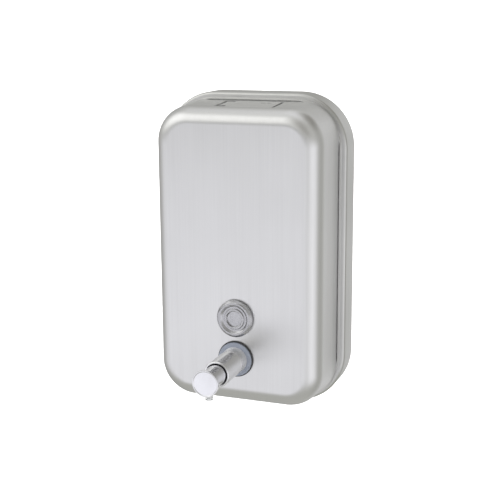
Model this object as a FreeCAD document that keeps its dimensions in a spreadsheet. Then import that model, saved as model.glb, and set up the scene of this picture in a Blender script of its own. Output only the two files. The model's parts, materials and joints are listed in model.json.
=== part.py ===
import FreeCAD, Part
import math
import os
import re
import Sketcher

# Wall mounted soap dispenser: a welded stainless tank that hooks over a wall bracket,
# with a hinged and bolted filler lid, a sight window and a push valve.
# Millimetres. +X is to the right, +Y points into the wall, +Z is up.
# The origin is the middle of the bracket's screw pattern, on the wall's surface.

os.makedirs("parts", exist_ok=True)
doc = FreeCAD.newDocument("wall_soap_dispenser")

DIMENSIONS = {
    # tank
    "body_width": 125.0,
    "body_height": 206.0,
    "rear_depth": 17.8,
    "front_depth": 36.3,
    "ledge_width": 5.0,
    "wall_draft": 2.4,
    "rear_corner": 35.0,
    "front_corner": 23.2,
    "rear_edge_round": 2.8,
    "front_edge_round": 10.9,
    "sheet": 0.8,
    "seam_gap": 0.3,
    "seam_lip_width": 0.8,
    "seam_lip_height": 1.0,
    # wall bracket, hanger and lock screw
    "bracket_width": 56.0,
    "bracket_sheet": 1.5,
    "screw_span_across": 36.0,
    "screw_span_up": 56.0,
    "wall_screw_hole": 5.0,
    "shelf_height": 38.0,
    "tongue_height": 12.0,
    "tongue_reach": 9.3,
    "hook_gap": 0.3,
    "hook_drop": 10.0,
    "hanger_weld_height": 18.0,
    "bracket_foot_gap": 3.8,
    "bracket_tail_inset": 8.0,
    "bracket_plate_margin": 10.0,
    "lock_screw_size": 4.0,
    "lock_screw_head": 7.6,
    "lock_screw_head_height": 1.8,
    "lock_screw_length": 8.0,
    "lock_screw_socket": 2.5,
    "screw_clearance": 0.4,
    # filler lid
    "lid_width": 37.0,
    "lid_depth": 21.4,
    "lid_setback": 5.6,
    "lid_offset": 2.4,
    "lid_gap": 0.3,
    "lid_finger_gap": 2.0,
    "lid_hinge_gap": 0.7,
    "lid_corner_round": 1.6,
    "knuckle_radius": 1.6,
    "hinge_pin_size": 1.7,
    "running_gap": 0.05,
    "hinge_notch": 3.0,
    "hinge_notch_reach": 4.2,
    "ear_width": 1.2,
    "seat_drop": 3.6,
    "seat_ledge": 2.6,
    "weld_gap": 0.2,
    "move_gap": 0.3,
    # lid bolt
    "bolt_width": 5.0,
    "bolt_thick": 1.2,
    "bolt_length": 15.0,
    "bolt_offset": 5.4,
    "bolt_tip_inset": 0.4,
    "guide_sheet": 0.6,
    "guide_length": 6.0,
    "guide_inset": 5.0,
    "guide_gap": 0.15,
    "key_slot_length": 2.8,
    "key_slot_width": 1.5,
    "key_slot_spacing": 4.2,
    "key_slot_inset": 8.9,
    # sight window
    "window_drop": 38.3,
    "window_size": 24.4,
    "window_stem": 16.0,
    "window_stem_length": 7.5,
    "window_bore": 11.0,
    "window_face": 1.0,
    "window_pane": 2.0,
    "window_ring_inner": 10.2,
    "window_ring_outer": 13.6,
    "window_ring_height": 2.3,
    "window_groove": 16.4,
    "window_groove_height": 1.5,
    "window_crown_inner": 18.8,
    "window_crown_outer": 21.6,
    "window_crown": 2.6,
    "window_rim": 1.2,
    "window_gasket_size": 23.6,
    "window_gasket_thick": 0.8,
    "window_nut_flats": 22.0,
    "window_nut_thick": 3.5,
    "hole_clearance": 0.3,
    # valve
    "valve_drop": 65.6,
    "washer_size": 22.4,
    "washer_thick": 1.2,
    "valve_gasket_size": 23.8,
    "valve_gasket_thick": 1.0,
    "barrel_size": 16.8,
    "barrel_reach": 33.5,
    "barrel_bore": 14.3,
    "barrel_floor": 8.0,
    "barrel_lip_round": 0.5,
    "shank_size": 13.6,
    "shank_depth": 9.0,
    "inner_gasket_size": 20.0,
    "inner_gasket_thick": 1.0,
    "valve_nut_flats": 21.0,
    "valve_nut_thick": 4.0,
    "cylinder_wall": 2.0,
    "cylinder_bore": 10.2,
    "cylinder_collar": 2.8,
    "cylinder_floor_depth": 27.2,
    "nose_size": 8.8,
    "nose_chamber": 4.6,
    "inlet_hole": 2.4,
    "nose_floor": 1.0,
    "nose_length": 4.2,
    "cap_cup_depth": 2.2,
    "cap_cup_wall": 1.0,
    "cap_cup_floor": 2.0,
    "inlet_ball_size": 3.8,
    # push button group
    "button_size": 17.0,
    "button_face": 51.7,
    "button_thick": 2.0,
    "button_dish": 0.5,
    "button_edge_round": 0.7,
    "button_boss_length": 7.8,
    "neck_size": 13.2,
    "neck_wall": 0.7,
    "neck_length": 30.0,
    "stem_size": 6.0,
    "stem_bore": 2.0,
    "stem_top_inset": 3.5,
    "stem_depth": 13.0,
    "piston_depth": 10.0,
    "piston_length": 8.0,
    "piston_size": 9.6,
    "seal_groove": 8.0,
    "seal_width": 2.4,
    "outlet_chamber": 3.2,
    "outlet_chamber_depth": 16.5,
    "outlet_seat": 1.8,
    "outlet_ball_size": 2.4,
    "ball_gap": 0.02,
    "nozzle_inset": 6.5,
    "nozzle_size": 5.0,
    "nozzle_bore": 2.6,
    "nozzle_drop": 10.4,
    "tip_spigot": 3.8,
    "tip_socket": 1.6,
    "tip_drop": 12.0,
    "tip_bore": 1.8,
    "spring_size": 11.2,
    "spring_wire": 0.9,
    "spring_turns": 8.0,
}

sheet = doc.addObject("Spreadsheet::Sheet", "Dims")
for row, (name, value) in enumerate(DIMENSIONS.items(), start=1):
    sheet.set(f"A{row}", name)
    sheet.set(f"B{row}", str(value))
    sheet.setAlias(f"B{row}", name)
doc.recompute()

# Places worked out from the driving dimensions, as formulas.
FRONT_FACE = "(rear_depth + front_depth)"
FRONT_WIDTH = "(body_width - 2 * ledge_width)"
FRONT_HEIGHT = "(body_height - 2 * ledge_width)"
TANK_WALL_BACK = "(rear_depth - sheet)"
LID_MIDDLE = "(lid_setback + lid_depth / 2)"
WALL_SLOPE = "(wall_draft / front_depth)"
SHELF_TOP = "shelf_height"
TONGUE_TOP = "(shelf_height + tongue_height)"
BRACKET_FOOT = "(-body_height / 2 + sheet + move_gap)"
PLATE_END = "(-screw_span_up / 2 - bracket_plate_margin)"
FOOT_REACH = "(rear_depth - bracket_foot_gap)"
TAIL_WIDTH = "(body_width - 2 * rear_corner - bracket_tail_inset)"
LOCK_SCREW_PLACE = "((bracket_sheet + rear_depth - bracket_foot_gap) / 2)"
NOZZLE_PLACE = "(button_face - nozzle_inset)"
NECK_RADIUS = "(neck_size / 2)"
NECK_INSIDE = "(neck_size / 2 - neck_wall)"
BUTTON_BACK = "(button_face - button_thick)"
BOSS_END = "(button_face - button_thick - button_boss_length)"
CHAMBER_TOP = "(cylinder_floor_depth + nose_floor)"
CHAMBER_END = "(cylinder_floor_depth + nose_floor + nose_length)"
PISTON_END = "(piston_depth + piston_length)"
VALVE_SEAT = "(valve_gasket_thick + washer_thick)"
LID_REACH = "(lid_width - knuckle_radius)"
HALF_LID = "(lid_depth / 2)"
HALF_KNUCKLE = "(lid_depth / 2 - hinge_notch)"
EAR_START = "(lid_depth / 2 - hinge_notch + move_gap)"
EAR_END = "(lid_depth / 2 - hinge_notch + move_gap + ear_width)"
MOUTH_LEFT = "(-knuckle_radius - lid_hinge_gap)"
MOUTH_RIGHT = "(lid_width - knuckle_radius + lid_finger_gap)"
HALF_MOUTH = "(lid_depth / 2 + lid_gap)"
BOLT_TOP = "(sheet + guide_gap)"
BOLT_BOTTOM = "(sheet + guide_gap + bolt_thick)"
BOLT_TIP = "(lid_width - knuckle_radius - bolt_tip_inset)"
LID_FRAME = (
    "lid_offset - lid_width / 2 + knuckle_radius",
    f"-(rear_depth + {LID_MIDDLE})",
    f"{FRONT_HEIGHT} / 2 - {LID_MIDDLE} * {WALL_SLOPE}",
)


def bound(formula):
    """The formula with every driving dimension written as a cell of the sheet."""
    return re.sub(
        r"[a-z][a-z_]+",
        lambda word: f"Dims.{word.group()}" if word.group() in DIMENSIONS else word.group(),
        str(formula),
    )


def size(formula):
    """The formula's value for the present dimensions."""
    return float(sheet.evalExpression(bound(formula)))


def new_body(label, base=("0", "0", "0"), axis=(1, 0, 0), turn="0"):
    """A body whose frame sits at base, turned about axis by turn degrees."""
    body = doc.addObject("PartDesign::Body", label)
    place(body, base, axis, turn)
    return body


def place(piece, base, axis=(1, 0, 0), turn="0"):
    """Bind a piece's position to the sheet and turn it about one axis."""
    rotation = FreeCAD.Rotation(FreeCAD.Vector(*axis), size(turn))
    piece.Placement = FreeCAD.Placement(FreeCAD.Vector(*[size(part) for part in base]), rotation)
    for letter, formula in zip("xyz", base):
        piece.setExpression(f"Placement.Base.{letter}", bound(formula))


def sketch_on(body, role, offset="0"):
    """An empty sketch on one of the body's own planes, raised along its normal."""
    sketch = body.newObject("Sketcher::SketchObject", f"{body.Name}_sketch")
    plane = next(item for item in body.Origin.OriginFeatures if item.Role == role)
    sketch.AttachmentSupport = [(plane, "")]
    sketch.MapMode = "FlatFace"
    sketch.AttachmentOffset = FreeCAD.Placement(
        FreeCAD.Vector(0, 0, size(offset)), FreeCAD.Rotation()
    )
    sketch.setExpression("AttachmentOffset.Base.z", bound(offset))
    return sketch


def pin_point(sketch, edge, end, across, up):
    """Tie one end of an edge to the sketch's origin by two bound distances."""
    for kind, formula in (("DistanceX", across), ("DistanceY", up)):
        number = sketch.addConstraint(Sketcher.Constraint(kind, -1, 1, edge, end, size(formula)))
        sketch.setExpression(f"Constraints[{number}]", bound(formula))


def polygon(sketch, corners):
    """A closed outline of straight edges through corners given as formulas."""
    spots = [FreeCAD.Vector(size(across), size(up), 0) for across, up in corners]
    first = sketch.GeometryCount
    count = len(spots)
    for index in range(count):
        sketch.addGeometry(Part.LineSegment(spots[index], spots[(index + 1) % count]), False)
    for index in range(count):
        following = first + (index + 1) % count
        sketch.addConstraint(Sketcher.Constraint("Coincident", first + index, 2, following, 1))
    for index, (across, up) in enumerate(corners):
        pin_point(sketch, first + index, 1, across, up)


def rectangle(sketch, left, low, right, high):
    """A closed rectangle between two opposite corners."""
    polygon(sketch, [(left, low), (right, low), (right, high), (left, high)])


def circle(sketch, across, up, radius):
    """A circle with a bound centre and radius."""
    centre = FreeCAD.Vector(size(across), size(up), 0)
    edge = sketch.addGeometry(Part.Circle(centre, FreeCAD.Vector(0, 0, 1), size(radius)), False)
    pin_point(sketch, edge, 3, across, up)
    number = sketch.addConstraint(Sketcher.Constraint("Radius", edge, size(radius)))
    sketch.setExpression(f"Constraints[{number}]", bound(radius))


def hexagon(sketch, flats):
    """A hexagon with its points left and right, given across its flats."""
    point = f"({flats}) / sqrt(3)"
    side = f"({flats}) / sqrt(3) / 2"
    half = f"({flats}) / 2"
    polygon(
        sketch,
        [
            (point, "0"),
            (side, half),
            (f"-{side}", half),
            (f"-{point}", "0"),
            (f"-{side}", f"-{half}"),
            (side, f"-{half}"),
        ],
    )


def pad(body, sketch, length, backward=False):
    """Add material along the sketch's normal, or against it."""
    feature = body.newObject("PartDesign::Pad", f"{body.Name}_pad")
    feature.Profile = sketch
    feature.Length = size(length)
    feature.setExpression("Length", bound(length))
    feature.Reversed = backward
    doc.recompute()
    return feature


def pocket(body, sketch, length, forward=False):
    """Remove material against the sketch's normal, or along it, and check that it cut."""
    before = body.Shape.Volume
    feature = body.newObject("PartDesign::Pocket", f"{body.Name}_pocket")
    feature.Profile = sketch
    feature.Length = size(length)
    feature.setExpression("Length", bound(length))
    feature.Reversed = forward
    doc.recompute()
    if body.Shape.Volume >= before:
        raise RuntimeError(f"{feature.Label} removed nothing")
    return feature


def rounded_rectangle(sketch, half_width, half_height, radius, middle=("0", "0")):
    """A rectangle about its middle with equal round corners."""
    across, up = middle
    left = f"{across} - {half_width}"
    right = f"{across} + {half_width}"
    low = f"{up} - {half_height}"
    high = f"{up} + {half_height}"
    lines = [
        ((f"{left} + {radius}", low), (f"{right} - {radius}", low)),
        ((right, f"{low} + {radius}"), (right, f"{high} - {radius}")),
        ((f"{right} - {radius}", high), (f"{left} + {radius}", high)),
        ((left, f"{high} - {radius}"), (left, f"{low} + {radius}")),
    ]
    centres = [
        (f"{right} - {radius}", f"{low} + {radius}"),
        (f"{right} - {radius}", f"{high} - {radius}"),
        (f"{left} + {radius}", f"{high} - {radius}"),
        (f"{left} + {radius}", f"{low} + {radius}"),
    ]
    first = sketch.GeometryCount
    for start, end in lines:
        spots = [FreeCAD.Vector(size(part[0]), size(part[1]), 0) for part in (start, end)]
        edge = sketch.addGeometry(Part.LineSegment(*spots), False)
        pin_point(sketch, edge, 1, *start)
        pin_point(sketch, edge, 2, *end)
    quarter = math.pi / 2
    for index, centre in enumerate(centres):
        spot = FreeCAD.Vector(size(centre[0]), size(centre[1]), 0)
        whole = Part.Circle(spot, FreeCAD.Vector(0, 0, 1), size(radius))
        arc = sketch.addGeometry(
            Part.ArcOfCircle(whole, (index - 1) * quarter, index * quarter), False
        )
        following = first + (index + 1) % len(lines)
        sketch.addConstraint(Sketcher.Constraint("Coincident", first + index, 2, arc, 1))
        sketch.addConstraint(Sketcher.Constraint("Coincident", arc, 2, following, 1))
        number = sketch.addConstraint(Sketcher.Constraint("Radius", arc, size(radius)))
        sketch.setExpression(f"Constraints[{number}]", bound(radius))


def turned(label, profile, base, turn="0"):
    """A turned piece: profile points are (radius, height along the piece's axis)."""
    body = new_body(label, base, (1, 0, 0), turn)
    sketch = sketch_on(body, "XZ_Plane")
    polygon(sketch, profile)
    feature = body.newObject("PartDesign::Revolution", f"{label}_turn")
    feature.Profile = sketch
    feature.ReferenceAxis = (sketch, ["V_Axis"])
    feature.Angle = 360.0
    doc.recompute()
    return body


def on_front(drop):
    """The place on the front panel, this far below the middle."""
    return ("0", f"-{FRONT_FACE}", f"-{drop}")


def front_turned(label, profile, drop):
    """A turned piece on the front panel: heights run outward from the panel."""
    return turned(label, profile, on_front(drop), "90")


def ring(label, inner, outer, low, high, drop):
    """A flat turned ring on the front panel."""
    return front_turned(
        label, [(inner, low), (outer, low), (outer, high), (inner, high)], drop
    )


def in_lid_frame(label):
    """A body in the lid's own frame: origin over the hinge, +X across, +Z off the lid."""
    return new_body(label, LID_FRAME, (1, 0, 0), f"atan({WALL_SLOPE})")


def round_edges(body, radius, wanted):
    """Fillet the edges of the body's solid that wanted() picks."""
    tip = body.Tip
    names = [
        f"Edge{number}"
        for number, edge in enumerate(tip.Shape.Edges, start=1)
        if wanted(edge)
    ]
    feature = body.newObject("PartDesign::Fillet", f"{body.Name}_round")
    feature.Base = (tip, names)
    feature.Radius = size(radius)
    feature.setExpression("Radius", bound(radius))
    doc.recompute()
    return feature


def lies_along(edge, direction):
    """Whether a straight edge runs mostly along a direction."""
    chord = edge.Vertexes[-1].Point - edge.Vertexes[0].Point
    bulge = 1e-3
    if chord.Length < bulge or edge.Length - chord.Length > bulge:
        return False
    mostly = 0.98
    return abs(chord.normalize().dot(FreeCAD.Vector(*direction))) > mostly


def at_radius(edge, radius, height):
    """Whether a round edge has this radius and height in its body's own frame."""
    if edge.Curve.TypeId != "Part::GeomCircle":
        return False
    near = 1e-3
    return abs(edge.Curve.Radius - radius) < near and abs(edge.Curve.Center.z - height) < near


def make_hollow(body, wall, open_face):
    """Shell the solid inward, leaving one face open."""
    tip = body.Tip
    feature = body.newObject("PartDesign::Thickness", f"{body.Name}_hollow")
    feature.Base = (tip, named_faces(tip.Shape, open_face))
    feature.Value = size(wall)
    feature.setExpression("Value", bound(wall))
    feature.Reversed = True
    feature.Mode = "Skin"
    feature.Join = "Intersection"
    doc.recompute()
    return feature


def named_faces(shape, wanted):
    """The names of the shape's faces that wanted() picks."""
    return [f"Face{number}" for number, face in enumerate(shape.Faces, start=1) if wanted(face)]


def lies_at(distance):
    """A test for an edge or a flat face lying this far in front of the wall."""
    def test(item):
        near = 1e-3
        box = item.BoundBox
        return abs(box.YMin + distance) < near and abs(box.YMax + distance) < near
    return test


def make_front_shell():
    """The deep drawn front of the tank, open at the back, with its walls drawn in."""
    body = new_body("front_shell")
    half_width = f"{FRONT_WIDTH} / 2"
    half_height = f"{FRONT_HEIGHT} / 2"
    front = f"-{FRONT_FACE}"
    plan = sketch_on(body, "XY_Plane", f"-{half_height}")
    polygon(
        plan,
        [
            (f"-{half_width}", "-rear_depth"),
            (half_width, "-rear_depth"),
            (f"{half_width} - wall_draft", front),
            (f"wall_draft - {half_width}", front),
        ],
    )
    pad(body, plan, FRONT_HEIGHT)
    for side in ("", "-"):
        wedge = sketch_on(body, "YZ_Plane", f"-{half_width}")
        corner = f"{side}{half_height}"
        drawn_in = f"{side}({half_height} - wall_draft)"
        polygon(wedge, [("-rear_depth", corner), (front, corner), (front, drawn_in)])
        pocket(body, wedge, FRONT_WIDTH, forward=True)
    at_back = lies_at(size("rear_depth"))
    at_front = lies_at(size(FRONT_FACE))
    round_edges(body, "front_corner", lambda edge: lies_along(edge, (0, 1, 0)))
    round_edges(body, "front_edge_round", at_front)
    make_hollow(body, "sheet", at_back)
    holes = sketch_on(body, "XZ_Plane", FRONT_FACE)
    circle(holes, "0", "-window_drop", "window_stem / 2 + hole_clearance")
    circle(holes, "0", "-valve_drop", "shank_size / 2 + hole_clearance")
    pocket(body, holes, "2 * sheet")
    opening = sketch_on(body, "XY_Plane", f"{FRONT_HEIGHT} / 2 + sheet")
    left = "lid_offset - lid_width / 2 - lid_hinge_gap"
    right = "lid_offset + lid_width / 2 + lid_finger_gap"
    back = "-(rear_depth + lid_setback - lid_gap)"
    front_side = "-(rear_depth + lid_setback + lid_depth + lid_gap)"
    rectangle(opening, left, front_side, right, back)
    pocket(body, opening, "2 * wall_draft + 4 * sheet")
    return body


def make_rear_shell():
    """The shallow tray against the wall: its front plate closes the tank and shows as a ledge."""
    body = new_body("rear_shell")
    outline = sketch_on(body, "XZ_Plane")
    rounded_rectangle(outline, "body_width / 2", "body_height / 2", "rear_corner")
    pad(body, outline, "rear_depth")
    round_edges(body, "rear_edge_round", lies_at(size("rear_depth")))
    make_hollow(body, "sheet", lies_at(0.0))
    lip = sketch_on(body, "XZ_Plane", "rear_depth")
    for growth in ("(seam_gap + seam_lip_width)", "seam_gap"):
        rounded_rectangle(
            lip,
            f"({FRONT_WIDTH} / 2 + {growth})",
            f"({FRONT_HEIGHT} / 2 + {growth})",
            f"(front_corner + {growth})",
        )
    pad(body, lip, "seam_lip_height")
    screw_way = sketch_on(body, "XY_Plane", "-body_height / 2 + 2 * sheet")
    circle(screw_way, "0", f"-{LOCK_SCREW_PLACE}", "lock_screw_size / 2 + screw_clearance")
    pocket(body, screw_way, "4 * sheet")
    return body


def make_wall_bracket():
    """The plate screwed to the wall, with a tongue on top and a narrow tail folded into a foot."""
    body = new_body("wall_bracket")
    side = sketch_on(body, "YZ_Plane", "-bracket_width / 2")
    polygon(
        side,
        [
            ("0", SHELF_TOP),
            ("-tongue_reach", SHELF_TOP),
            ("-tongue_reach", TONGUE_TOP),
            ("-tongue_reach - bracket_sheet", TONGUE_TOP),
            ("-tongue_reach - bracket_sheet", f"{SHELF_TOP} - bracket_sheet"),
            ("-bracket_sheet", f"{SHELF_TOP} - bracket_sheet"),
            ("-bracket_sheet", PLATE_END),
            ("0", PLATE_END),
        ],
    )
    pad(body, side, "bracket_width")
    tail = sketch_on(body, "YZ_Plane", f"-{TAIL_WIDTH} / 2")
    polygon(
        tail,
        [
            ("0", BRACKET_FOOT),
            ("0", PLATE_END),
            ("-bracket_sheet", PLATE_END),
            ("-bracket_sheet", f"{BRACKET_FOOT} + bracket_sheet"),
            (f"-{FOOT_REACH}", f"{BRACKET_FOOT} + bracket_sheet"),
            (f"-{FOOT_REACH}", BRACKET_FOOT),
        ],
    )
    pad(body, tail, TAIL_WIDTH)
    screw_holes = sketch_on(body, "XZ_Plane", "bracket_sheet")
    for across in ("-", ""):
        for up in ("-", ""):
            circle(
                screw_holes,
                f"{across}screw_span_across / 2",
                f"{up}screw_span_up / 2",
                "wall_screw_hole / 2",
            )
    pocket(body, screw_holes, "2 * bracket_sheet")
    tapped_hole = sketch_on(body, "XY_Plane", f"{BRACKET_FOOT} + 2 * bracket_sheet")
    circle(tapped_hole, "0", f"-{LOCK_SCREW_PLACE}", "lock_screw_size / 2")
    pocket(body, tapped_hole, "3 * bracket_sheet")
    return body


def make_tank_hanger():
    """The folded strip welded behind the tank: its hook drops behind the bracket's tongue."""
    body = new_body("tank_hanger")
    side = sketch_on(body, "YZ_Plane", "-bracket_width / 2")
    hook_front = "-(tongue_reach - hook_gap)"
    hook_back = "-(tongue_reach - hook_gap - bracket_sheet)"
    weld_back = f"-({TANK_WALL_BACK} - bracket_sheet)"
    web_top = f"{TONGUE_TOP} + bracket_sheet"
    polygon(
        side,
        [
            (f"-{TANK_WALL_BACK}", f"{web_top} - hanger_weld_height"),
            (f"-{TANK_WALL_BACK}", web_top),
            (hook_back, web_top),
            (hook_back, f"{TONGUE_TOP} - hook_drop"),
            (hook_front, f"{TONGUE_TOP} - hook_drop"),
            (hook_front, TONGUE_TOP),
            (weld_back, TONGUE_TOP),
            (weld_back, f"{web_top} - hanger_weld_height"),
        ],
    )
    pad(body, side, "bracket_width")
    return body


def make_bracket_lock_screw():
    """The screw from below that keeps the tank on its bracket."""
    base = ("0", f"-{LOCK_SCREW_PLACE}", "-body_height / 2")
    head = "lock_screw_head / 2"
    shank = "lock_screw_size / 2"
    low = "-lock_screw_head_height"
    profile = [
        ("0", low),
        (head, low),
        (head, "0"),
        (shank, "0"),
        (shank, "lock_screw_length"),
        ("0", "lock_screw_length"),
    ]
    body = turned("bracket_lock_screw", profile, base)
    socket = sketch_on(body, "XY_Plane", low)
    hexagon(socket, "lock_screw_socket")
    pocket(body, socket, "lock_screw_head_height * 2 / 3", forward=True)
    return body


def make_lid_seat_frame():
    """The sunk frame welded under the filler opening, with a ledge, two hinge ears and a strike."""
    body = in_lid_frame("lid_seat_frame")
    block = sketch_on(body, "XY_Plane", "-(seat_drop + sheet)")
    rectangle(
        block,
        f"{MOUTH_LEFT} - sheet",
        f"-({HALF_MOUTH} + sheet)",
        f"{MOUTH_RIGHT} + sheet",
        f"{HALF_MOUTH} + sheet",
    )
    pad(body, block, "seat_drop - weld_gap")
    well = sketch_on(body, "XY_Plane", "-(sheet + weld_gap)")
    rectangle(well, MOUTH_LEFT, f"-{HALF_MOUTH}", MOUTH_RIGHT, HALF_MOUTH)
    pocket(body, well, "seat_drop - sheet - weld_gap")
    mouth = sketch_on(body, "XY_Plane", "-seat_drop")
    rectangle(
        mouth,
        "hinge_notch_reach",
        f"-({HALF_MOUTH} - seat_ledge)",
        f"{LID_REACH} - seat_ledge",
        f"{HALF_MOUTH} - seat_ledge",
    )
    pocket(body, mouth, "2 * sheet")
    for start in (EAR_START, f"-{EAR_END}"):
        ear = sketch_on(body, "XZ_Plane", start)
        rectangle(ear, "-knuckle_radius", "-seat_drop", "knuckle_radius", "-move_gap")
        pad(body, ear, "ear_width")
    pin_way = sketch_on(body, "XZ_Plane", EAR_END)
    circle(pin_way, "0", "-knuckle_radius", "hinge_pin_size / 2")
    pocket(body, pin_way, f"2 * {EAR_END}")
    strike = sketch_on(body, "YZ_Plane", f"{MOUTH_RIGHT} + sheet")
    rectangle(
        strike,
        "bolt_offset - bolt_width / 2 - move_gap",
        f"-({BOLT_BOTTOM} + move_gap)",
        "bolt_offset + bolt_width / 2 + move_gap",
        "-sheet / 2",
    )
    pocket(body, strike, "2 * sheet")
    return body


def make_filler_lid():
    """The flush lid: a plate with a turned-down skirt, a curled knuckle and two key slots."""
    body = in_lid_frame("filler_lid")
    skirt = sketch_on(body, "XY_Plane", "-(seat_drop - move_gap)")
    rectangle(skirt, "hinge_notch_reach", f"-{HALF_LID}", LID_REACH, HALF_LID)
    pad(body, skirt, "seat_drop - move_gap")
    reach = size(LID_REACH)
    near = 1e-3
    round_edges(
        body,
        "lid_corner_round",
        lambda edge: lies_along(edge, (0, 0, 1)) and abs(edge.CenterOfMass.x - reach) < near,
    )
    inside = sketch_on(body, "XY_Plane", "-(seat_drop - move_gap)")
    rectangle(
        inside,
        "hinge_notch_reach - sheet",
        f"-({HALF_LID} - sheet)",
        f"{LID_REACH} - sheet",
        f"{HALF_LID} - sheet",
    )
    pocket(body, inside, "seat_drop - move_gap - sheet", forward=True)
    strap = sketch_on(body, "XY_Plane", "-sheet")
    rectangle(strap, "0", f"-{HALF_KNUCKLE}", "hinge_notch_reach + sheet", HALF_KNUCKLE)
    pad(body, strap, "sheet")
    knuckle = sketch_on(body, "XZ_Plane", f"-{HALF_KNUCKLE}")
    circle(knuckle, "0", "-knuckle_radius", "knuckle_radius")
    pad(body, knuckle, f"2 * {HALF_KNUCKLE}")
    pin_way = sketch_on(body, "XZ_Plane", HALF_KNUCKLE)
    circle(pin_way, "0", "-knuckle_radius", "hinge_pin_size / 2 + running_gap")
    pocket(body, pin_way, f"2 * {HALF_KNUCKLE}")
    bolt_way = sketch_on(body, "YZ_Plane", LID_REACH)
    rectangle(
        bolt_way,
        "bolt_offset - bolt_width / 2 - guide_gap",
        f"-({BOLT_BOTTOM} + guide_gap)",
        "bolt_offset + bolt_width / 2 + guide_gap",
        f"-({BOLT_TOP} - guide_gap)",
    )
    pocket(body, bolt_way, "2 * sheet")
    key_slots = sketch_on(body, "XY_Plane")
    cut_key_slots(body, key_slots, "sheet")
    return body


def cut_key_slots(body, sketch, depth):
    """The two slots that the key's prongs pass through."""
    for side in ("+", "-"):
        rounded_rectangle(
            sketch,
            "key_slot_length / 2",
            "key_slot_width / 2",
            "key_slot_width / 3",
            (f"{LID_REACH} - key_slot_inset {side} key_slot_spacing / 2", "bolt_offset"),
        )
    pocket(body, sketch, depth)


def make_lid_hinge_pin():
    """The plain pin held in the frame's two ears."""
    body = in_lid_frame("lid_hinge_pin")
    section = sketch_on(body, "XZ_Plane", f"-{EAR_END}")
    circle(section, "0", "-knuckle_radius", "hinge_pin_size / 2")
    pad(body, section, f"2 * {EAR_END}")
    return body


def make_lid_bolt():
    """The flat bolt under the lid: the key slides it under the tank's top."""
    body = in_lid_frame("lid_bolt")
    bar = sketch_on(body, "XY_Plane", f"-{BOLT_BOTTOM}")
    rectangle(
        bar,
        f"{BOLT_TIP} - bolt_length",
        "bolt_offset - bolt_width / 2",
        BOLT_TIP,
        "bolt_offset + bolt_width / 2",
    )
    pad(body, bar, "bolt_thick")
    cut_key_slots(body, sketch_on(body, "XY_Plane", f"-{BOLT_TOP}"), "bolt_thick / 2")
    return body


def make_bolt_guide():
    """The strap under the lid that the bolt slides in."""
    body = in_lid_frame("bolt_guide")
    section = sketch_on(body, "YZ_Plane", f"{LID_REACH} - guide_inset - guide_length")
    inner = "(bolt_width / 2 + guide_gap)"
    outer = "(bolt_width / 2 + guide_gap + guide_sheet)"
    floor_top = f"-({BOLT_BOTTOM} + guide_gap)"
    floor_low = f"-({BOLT_BOTTOM} + guide_gap + guide_sheet)"
    polygon(
        section,
        [
            (f"bolt_offset - {outer}", "-sheet"),
            (f"bolt_offset - {outer}", floor_low),
            (f"bolt_offset + {outer}", floor_low),
            (f"bolt_offset + {outer}", "-sheet"),
            (f"bolt_offset + {inner}", "-sheet"),
            (f"bolt_offset + {inner}", floor_top),
            (f"bolt_offset - {inner}", floor_top),
            (f"bolt_offset - {inner}", "-sheet"),
        ],
    )
    pad(body, section, "guide_length")
    return body


def make_sight_window():
    """The clear plug that shows the soap: a ringed face, a crowned rim and a hollow stem."""
    seat = "window_gasket_thick"
    face = f"{seat} + window_face"
    pane_back = f"{seat} + window_face - window_pane"
    profile = [
        ("0", face),
        ("window_ring_inner / 2", face),
        ("window_ring_inner / 2", f"{seat} + window_ring_height"),
        ("window_ring_outer / 2", f"{seat} + window_ring_height"),
        ("window_ring_outer / 2", f"{seat} + window_groove_height"),
        ("window_groove / 2", f"{seat} + window_groove_height"),
        ("window_crown_inner / 2", f"{seat} + window_crown"),
        ("window_crown_outer / 2", f"{seat} + window_crown"),
        ("window_size / 2", f"{seat} + window_rim"),
        ("window_size / 2", seat),
        ("window_stem / 2", seat),
        ("window_stem / 2", "-window_stem_length"),
        ("window_bore / 2", "-window_stem_length"),
        ("window_bore / 2", pane_back),
        ("0", pane_back),
    ]
    return front_turned("sight_window", profile, "window_drop")


def make_nut(label, flats, thick, bore, face, drop):
    """A hexagon nut behind the front panel, its near face this far behind the panel's front."""
    body = new_body(label, on_front(drop), (1, 0, 0), "90")
    section = sketch_on(body, "XY_Plane", f"-({face} + {thick})")
    hexagon(section, flats)
    circle(section, "0", "0", bore)
    pad(body, section, thick)
    return body


def make_valve_barrel():
    """The chrome barrel that guides the button, with its threaded shank through the panel."""
    guide = "stem_size / 2 + running_gap"
    profile = [
        (guide, "-shank_depth"),
        ("shank_size / 2", "-shank_depth"),
        ("shank_size / 2", VALVE_SEAT),
        ("barrel_size / 2", VALVE_SEAT),
        ("barrel_size / 2", "barrel_reach"),
        ("barrel_bore / 2", "barrel_reach"),
        ("barrel_bore / 2", "barrel_floor"),
        (guide, "barrel_floor"),
    ]
    body = front_turned("valve_barrel", profile, "valve_drop")
    radius = size("barrel_size / 2")
    lip = size("barrel_reach")
    round_edges(body, "barrel_lip_round", lambda edge: at_radius(edge, radius, lip))
    return body


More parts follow.
